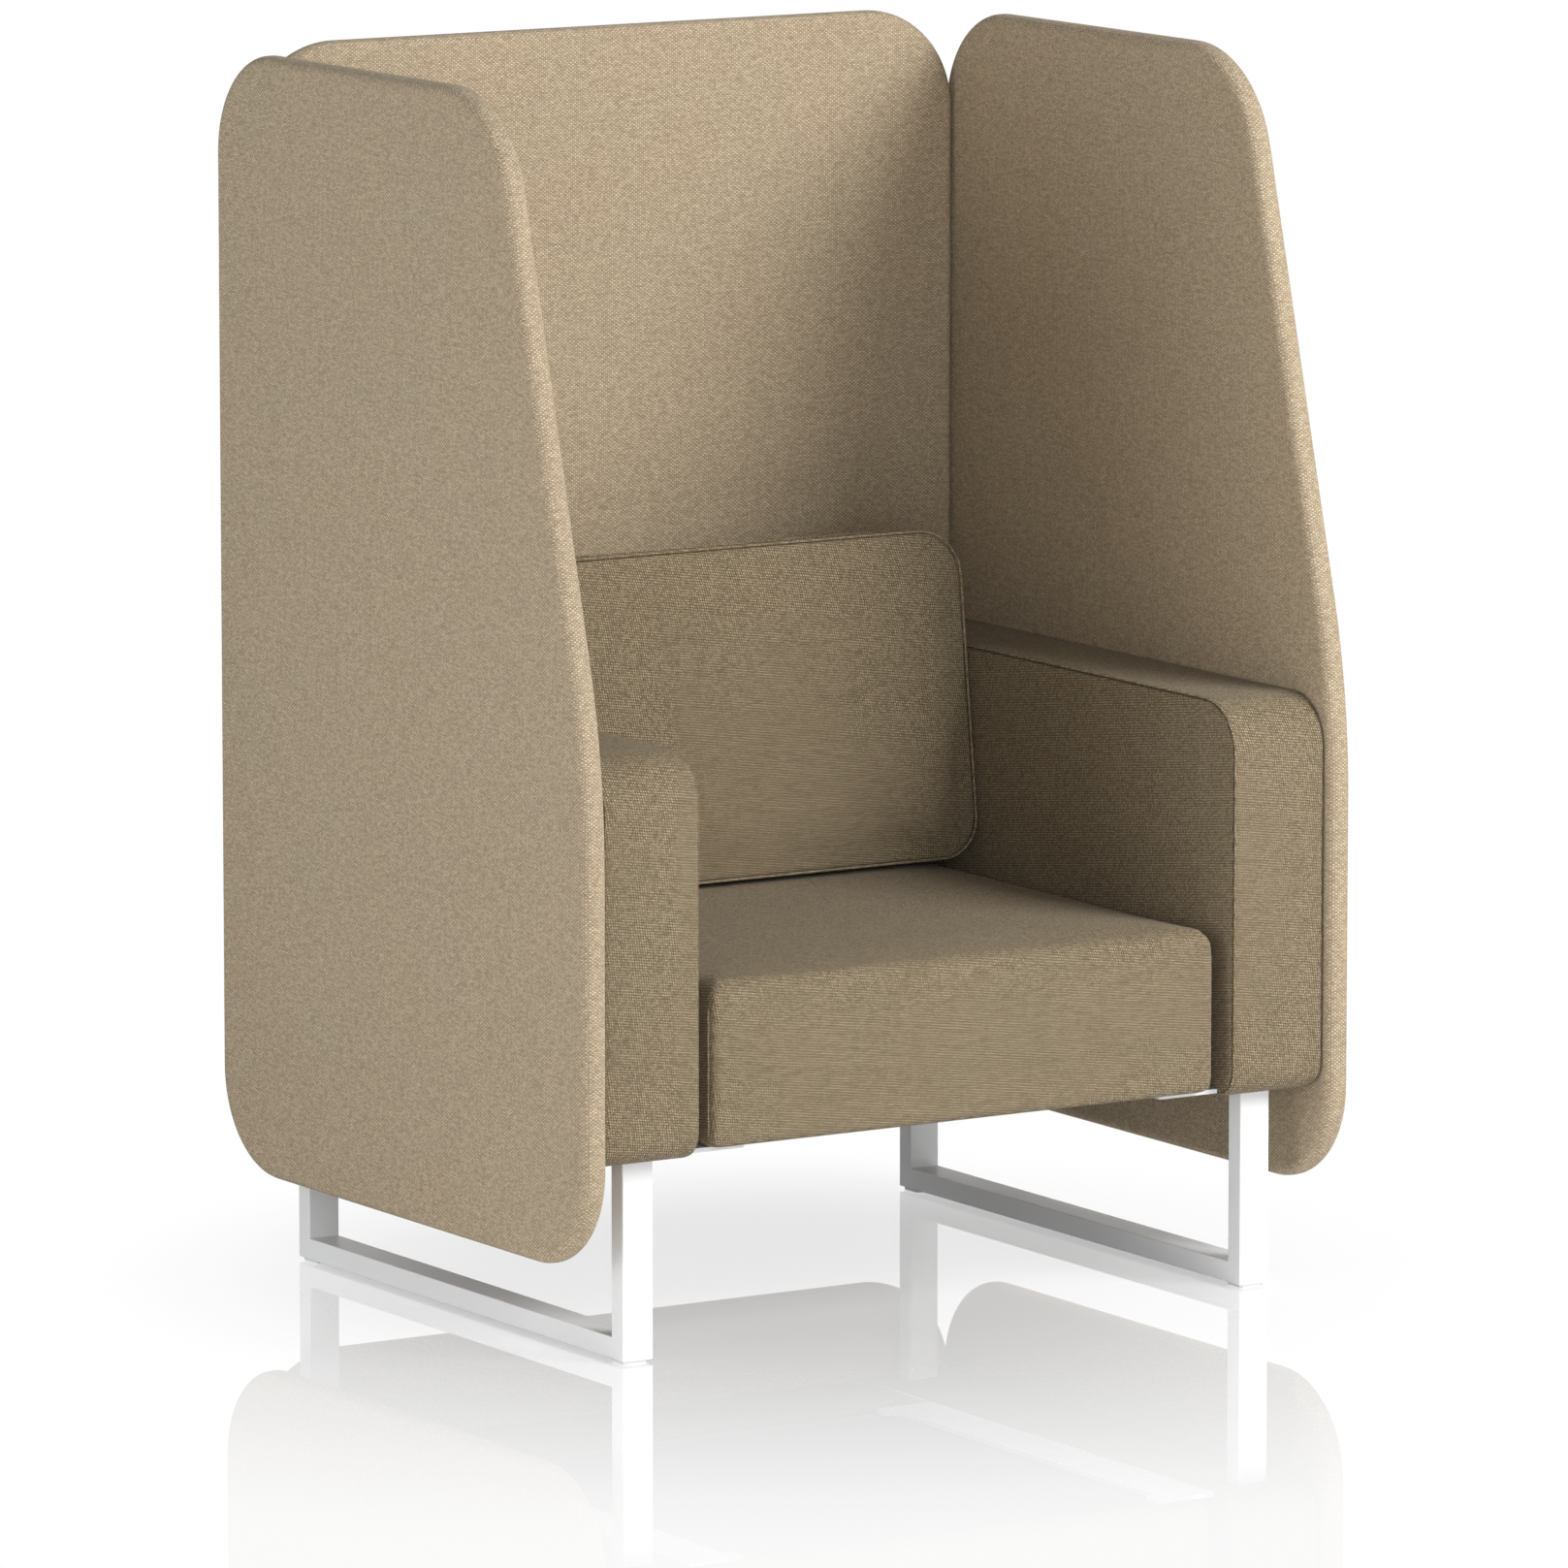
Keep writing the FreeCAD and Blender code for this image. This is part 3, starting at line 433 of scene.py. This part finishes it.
low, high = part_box("seat_cover")
seat_top, seat_low = 0.4335, low.z + 0.0003
front_y, rear_y, seat_half = low.y + 0.002, high.y - 0.0015, high.x - 0.0015
front_corner, rear_corner, top_roll, hem_roll = 0.008, 0.02, 0.022, 0.008
hem_wide, hem_high = 0.0445, 0.018
seat = start_block("seat", Vector((-seat_half, front_y, seat_low)), Vector((seat_half, rear_y, seat_top)),
                   hopsack)
for end_y, radius, steps in ((front_y, front_corner, 3), (rear_y, rear_corner, 5)):
    round_over(seat, lambda a, b: near(a.x, b.x) and near(a.y, b.y) and near(a.y, end_y), radius, steps)
for level, radius, steps in ((seat_top, top_roll, 6), (seat_low, hem_roll, 3)):
    round_over(seat, lambda a, b: near(a.z, level) and near(b.z, level), radius, steps)
bpy.ops.object.mode_set(mode="OBJECT")
recess = start_block("seat_recess", Vector((hem_wide - seat_half, front_y + hem_wide, seat_low - 0.02)),
                     Vector((seat_half - hem_wide, rear_y - hem_wide, seat_low + hem_high)), hopsack)
work_on(seat)
bpy.ops.object.mode_set(mode="OBJECT")
hollow = seat.modifiers.new("hollow", "BOOLEAN")
hollow.operation = "DIFFERENCE"
hollow.object = recess
bpy.ops.object.modifier_apply(modifier="hollow")
bpy.data.objects.remove(recess)


def seat_reach(spot):
    """The top crowns most, the front bellies out, and the hem hardly moves."""
    top_crown, front_belly, side_belly, hem_slack = 0.0055, 0.0035, 0.001, 0.0001
    side, front, rear = seat_half - abs(spot.x), spot.y - front_y, rear_y - spot.y
    edge = min(side, front, rear)
    if spot.z > seat_top - 0.012:
        return 0.0005 + top_crown * rise(edge, 0.12)
    if spot.z < seat_low + 0.025 and edge > 0.012:
        return hem_slack
    height = rise(min(spot.z - seat_low - 0.004, seat_top - spot.z), 0.07)
    belly = front_belly * rise(side, 0.08) if front < 0.02 else side_belly
    return 0.0002 + belly * height


swell_up(seat, 0.008, 4, seat_reach)
corner_thread, corner_inset, corner_tall, corner_middle = 0.0015, 0.0006, 0.146, 0.329
for corner_x in (corner_inset - seat_half, seat_half - corner_inset):
    bpy.ops.object.select_all(action="DESELECT")
    bpy.ops.mesh.primitive_cylinder_add(vertices=10, radius=corner_thread, depth=corner_tall,
                                        location=(corner_x, front_y + 0.0105, corner_middle))
    seam = bpy.context.object
    bpy.ops.object.transform_apply(location=True, rotation=True, scale=True)
    work_on(seam)
    round_over(seam, lambda a, b: near(a.z, b.z), 0.0012, 3)
    bpy.ops.object.mode_set(mode="OBJECT")
    sew_on(seam, seat)
close_piece(seat, ("seat_cover", "seat_foam"))


# Loose back cushion: a box cushion of hopsack with a seam round its front and rear panels and a zip in
# its foot; it stands on the seat and leans on the chair back, and its filling crowns the front.
foot_y, foot_z, lean = 0.22332, 0.43448, 7
cushion_half, tall, thick = 0.3555, 0.3925, 0.0995
top_corner, foot_corner, panel_roll = 0.058, 0.050, 0.007
welt_inset, welt_thread = 0.0014, 0.0015


def cushion_panel(name, face_y, trim, finish):
    """The outline of a panel, rounded at its corners, facing the sitter."""
    bpy.ops.object.select_all(action="DESELECT")
    bpy.ops.mesh.primitive_plane_add(size=1, location=(0, face_y, foot_z + tall / 2),
                                     rotation=(math.pi / 2, 0, 0))
    panel = bpy.context.object
    panel.name = panel.data.name = name
    wide, top_z, low_z = cushion_half - trim, foot_z + tall - trim, foot_z + trim
    panel.scale = (2 * wide, top_z - low_z, 1)
    bpy.ops.object.transform_apply(location=True, rotation=True, scale=True)
    panel.data.materials.append(finish)
    work_on(panel)
    for corner_z, radius in ((top_z, top_corner), (low_z, foot_corner)):
        pick(panel, "VERT", lambda p: near(abs(p.x), wide) and near(p.z, corner_z))
        bpy.ops.mesh.bevel(offset=radius - trim, segments=12, profile=0.5, affect="VERTICES")
    return panel


cushion = cushion_panel("back_cushion", foot_y - thick, 0, hopsack)
bpy.ops.mesh.select_all(action="SELECT")
bpy.ops.mesh.extrude_region_move(TRANSFORM_OT_translate={"value": (0, thick, 0)})
bpy.ops.mesh.select_all(action="SELECT")
bpy.ops.mesh.normals_make_consistent(inside=False)
round_over(cushion, lambda a, b: near(a.y, b.y), panel_roll, 3)


def cushion_reach(spot):
    """The front panel crowns most, and the border fills out along the top."""
    front_crown, middle_crown, rear_crown = 0.0078, 0.0045, 0.0052
    top_belly, side_belly, seam_slack = 0.0045, 0.0015, 0.0002
    edge = min(cushion_half - abs(spot.x), spot.z - foot_z, foot_z + tall - spot.z)
    past_side = max(abs(spot.x) - cushion_half + top_corner, 0)
    past_end = max(abs(spot.z - foot_z - tall / 2) - tall / 2 + top_corner, 0)
    past_corner = math.hypot(past_side, past_end)
    edge = min(edge, top_corner - past_corner) if past_corner > 0.0 else edge
    if spot.y < foot_y - thick + 0.002:
        return seam_slack + front_crown * rise(edge, 0.06) + middle_crown * rise(edge, 0.16)
    if spot.y > foot_y - 0.002:
        return seam_slack + rear_crown * rise(edge, 0.06)
    belly = top_belly if spot.z > foot_z + tall - 0.02 else side_belly
    return seam_slack + belly * rise(min(foot_y - spot.y, spot.y - foot_y + thick), 0.05)


swell_up(cushion, 0.006, 4, cushion_reach)
for face_y in (foot_y - thick + welt_inset, foot_y - welt_inset):
    # the welt cord is in the lighter seam cloth, which is a painted highlight
    cushion_panel("cushion_welt", face_y, welt_inset, seam_cloth_painted_highlight)
    bpy.ops.mesh.select_all(action="SELECT")
    bpy.ops.mesh.delete(type="ONLY_FACE")
    bpy.ops.object.mode_set(mode="OBJECT")
    bpy.ops.object.convert(target="CURVE")
    bpy.context.object.data.bevel_depth = welt_thread
    bpy.context.object.data.bevel_resolution = 2
    bpy.ops.object.convert(target="MESH")
    sew_on(bpy.context.object, cushion)
work_on(cushion)
bpy.ops.mesh.select_all(action="SELECT")
bpy.ops.transform.rotate(value=math.radians(lean), orient_axis="X", center_override=(0, foot_y, foot_z))
close_piece(cushion, ("cushion_cover", "cushion_foam"))


# Screens: a board padded on both faces and covered in one fine ribbed cloth, pulled tight over a half-round
# edge with no seam in sight; the side screens slope back from a long bend to a rounded brow.
ribbed = woven_cloth("beige_rib_weave", [0.58, 0.474, 0.33], [0.385, 0.305, 0.208], [0.20, 0.152, 0.096],
                     0.2, yarn=(2.8, 2.0, 0.28), turn=0, slubs=(70, 350, 0.14), relief=0.0006)
outline_roll, screen_edge = 0.120, 0.013
inner_lift, outer_lift = 0.0005, 0.0015


def pad_screen(screen, axis, inner_at, outer_at):
    """Crown both faces of a screen, the outer one more."""
    for place, lift in ((inner_at, inner_lift), (outer_at, outer_lift)):
        pad_face(screen, axis, place, ((0.004, 0.0), (0.03, lift / 2), (0.06, lift / 2)))


low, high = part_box("right_screen_cover")
bend_z, brow_y = 0.69105, low.y + 0.198
bend_tangent, brow_tangent = 0.1185, 0.1151
right_screen = start_block("right_screen", low, high, ribbed)
bpy.ops.mesh.select_all(action="SELECT")
bpy.ops.mesh.bisect(plane_co=(0, low.y, bend_z), plane_no=(0, bend_z - high.z, brow_y - low.y),
                    use_fill=True, clear_outer=True)
for (corner_y, corner_z), tangent, steps, profile in (
        ((high.y, low.z), outline_roll, 24, 0.5), ((high.y, high.z), outline_roll, 24, 0.5),
        ((low.y, low.z), outline_roll, 24, 0.5), ((brow_y, high.z), brow_tangent, 24, 0.52),
        ((low.y, bend_z), bend_tangent, 16, 0.561)):
    round_over(right_screen, lambda a, b: all(near(p.y, corner_y) and near(p.z, corner_z) for p in (a, b)),
               tangent, steps, profile)
round_over(right_screen, lambda a, b: near(a.x, b.x), screen_edge, 8)
pad_screen(right_screen, 0, low.x, high.x)
left_screen = mirrored_copy(right_screen, "left_screen")
for screen, side in ((left_screen, "left_"), (right_screen, "right_")):
    close_piece(screen,
                [side + layer for layer in ("screen_cover", "screen_inner_foam", "screen_outer_foam")])

low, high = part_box("back_screen_cover")
joint_take_up = 0.0055
low.x, high.x = low.x - joint_take_up, high.x + joint_take_up
back_screen = start_block("back_screen", low, high, ribbed)
round_over(back_screen, lambda a, b: near(a.x, b.x) and near(a.z, b.z), outline_roll, 24)
round_over(back_screen, lambda a, b: near(a.y, b.y), screen_edge, 8)
pad_screen(back_screen, 1, low.y, high.y)
close_piece(back_screen, ("back_screen_cover", "back_screen_inner_foam",
                                                "back_screen_outer_foam"))


# Floor: polished white sheet laid flat under the glides. Near the chair it keeps a faint shadow and a mirror
# image, and a soft grey disc round the chair that is painted shadow; further away it fades to the plain
# white of the surround.
def emptied(owner):
    """Empty a material's or the world's nodes, and give the way to add new ones."""
    owner.use_nodes = True
    owner.node_tree.nodes.clear()
    return node_tools(owner.node_tree)[0]


bpy.ops.object.select_all(action="DESELECT")
bpy.ops.mesh.primitive_plane_add(size=90, location=(0, 0, 0))
floor = bpy.context.object
floor.name = "studio_floor"
gloss_white = bpy.data.materials.new("gloss_white_floor")
add = emptied(gloss_white)
place = add("ShaderNodeTexCoord").outputs["Object"]
away = add("ShaderNodeVectorMath", {0: place}, operation="LENGTH").outputs["Value"]


def fade(start, end, close, far):
    """A value that goes from close to far between two distances from the chair's middle."""
    return add("ShaderNodeMapRange", {"Value": away, "From Min": start, "From Max": end, "To Min": close,
                                      "To Max": far}, interpolation_type="SMOOTHSTEP").outputs["Result"]


by_camera = add("ShaderNodeLightPath").outputs["Is Camera Ray"]
# nearer the chair less white glow is mixed in, so the floor there turns grey in a soft disc: painted shadow
# round the chair, on top of the real shadow that the lamps cast
share = add("ShaderNodeMath", {0: by_camera, 1: fade(0.3, 0.85, 0.65, 1.0)}, operation="MULTIPLY")
matt = add("ShaderNodeBsdfDiffuse", {"Color": (0.93, 0.93, 0.93, 1)})
glow = add("ShaderNodeEmission", {"Strength": 1.0})
lifted = add("ShaderNodeMixShader", {0: share.outputs[0], 1: matt.outputs[0], 2: glow.outputs[0]})
mirror = add("ShaderNodeBsdfGlossy", {"Color": (1, 1, 1, 1), "Roughness": 0.006})
polish = add("ShaderNodeMixShader", {0: fade(0.35, 1.55, 0.36, 0.06), 1: lifted.outputs[0],
                                     2: mirror.outputs[0]})
add("ShaderNodeOutputMaterial", {"Surface": polish.outputs[0]})
floor.data.materials.append(gloss_white)


# Light: a white surround, bright at the horizon and dim overhead, and three large soft lamps. The key is in
# front to the right and leaves the inside of the right screen in soft shade, and two weaker ones on the left
# light the left screen and the fronts.
world = bpy.data.worlds.new("white_surround")
bpy.context.scene.world = world
add = emptied(world)
path = add("ShaderNodeLightPath").outputs
seen = add("ShaderNodeMath", {0: path["Is Camera Ray"], 1: path["Is Glossy Ray"]}, operation="MAXIMUM")
seen_too = add("ShaderNodeMath", {0: seen.outputs[0], 1: path["Is Transmission Ray"]}, operation="MAXIMUM")
aim = add("ShaderNodeTexCoord").outputs["Generated"]
height = add("ShaderNodeSeparateXYZ", {"Vector": aim}).outputs["Z"]
dome = add("ShaderNodeMapRange", {"Value": height, "From Min": 0.0, "From Max": 0.6, "To Min": 0.70,
                                  "To Max": 0.08})
ambient = add("ShaderNodeBackground", {"Color": (0.96, 1.0, 1.065, 1), "Strength": dome.outputs["Result"]})
white = add("ShaderNodeBackground", {"Color": (1, 1, 1, 1), "Strength": 1.0})
either = add("ShaderNodeMixShader", {0: seen_too.outputs[0], 1: ambient.outputs[0], 2: white.outputs[0]})
add("ShaderNodeOutputWorld", {"Surface": either.outputs[0]})


def soft_lamp(name, spot, target, span, watts):
    """A round soft lamp of a given width, turned to its target."""
    bpy.ops.object.light_add(type="AREA", location=spot)
    lamp = bpy.context.object
    lamp.name = name
    lamp.data.shape = "DISK"
    lamp.data.size = span
    lamp.data.energy = watts
    lamp.rotation_euler = (Vector(target) - Vector(spot)).to_track_quat("-Z", "Y").to_euler()


soft_lamp("key_lamp", (2.45, -4.1, 3.7), (0, 0, 0.8), 2.6, 290)
soft_lamp("side_lamp", (-6.2, -1.2, 2.0), (0, 0, 0.7), 3.0, 134)
soft_lamp("front_lamp", (-2.6, -6.0, 2.0), (0, 0, 0.8), 3.0, 88)


# Camera: at the photograph's place, far in front to the left and above the screens, with a long lens that
# looks a little down and shows the chair's front, its seat and the outside of its left screen.
look_down, look_right = math.radians(8.83), math.radians(32.04)
bpy.ops.object.camera_add(location=(-7.3151, -11.6917, 2.7216),
                          rotation=(math.pi / 2 - look_down, 0, -look_right))
camera = bpy.context.object
camera.data.lens = 275.4
camera.data.sensor_width = 36
camera.data.clip_end = 300
bpy.context.scene.camera = camera
bpy.context.scene.view_settings.view_transform = "Standard"
